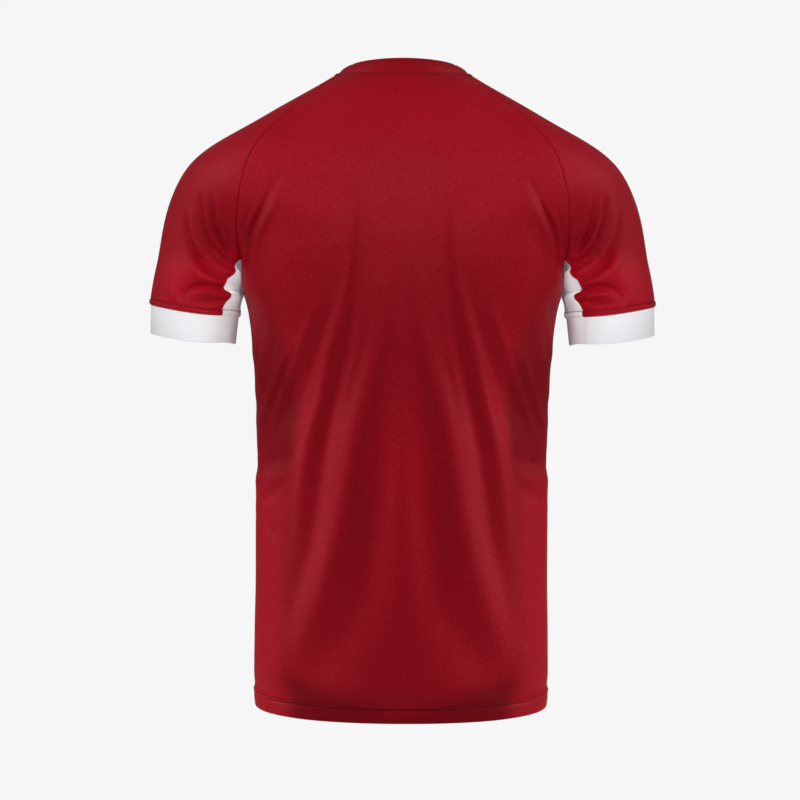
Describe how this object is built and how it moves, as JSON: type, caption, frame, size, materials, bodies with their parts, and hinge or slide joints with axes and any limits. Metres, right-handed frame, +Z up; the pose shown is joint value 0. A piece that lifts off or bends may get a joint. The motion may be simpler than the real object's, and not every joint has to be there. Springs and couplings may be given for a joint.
{
  "type": "football jersey",
  "caption": "Short-sleeved raglan football jersey with round collar, turned hem, pale cuffs and underarm panels, hollow and open as worn.",
  "frame": {"origin": "midway between the tops of the two shoulders, at the base of the wearer's neck, where the jersey is held up", "axes": "+Z up, the front of the jersey faces -Y, the wearer's left is +X"},
  "size_m": [0.5844, 0.2477, 0.7387],
  "materials": {
    "red_jersey": "smooth red polyester jersey, slight sheen",
    "white_mesh": "white polyester mesh, matt",
    "white_cuff": "white polyester jersey, folded double, matt"
  },
  "bodies": {
    "root": {"back": "red_jersey", "front": "red_jersey", "collar": "red_jersey", "sleeve_left": "red_jersey", "sleeve_right": "red_jersey", "underarm_left": "white_mesh", "underarm_right": "white_mesh", "cuff_left": "white_cuff", "cuff_right": "white_cuff"}
  },
  "joints": []
}
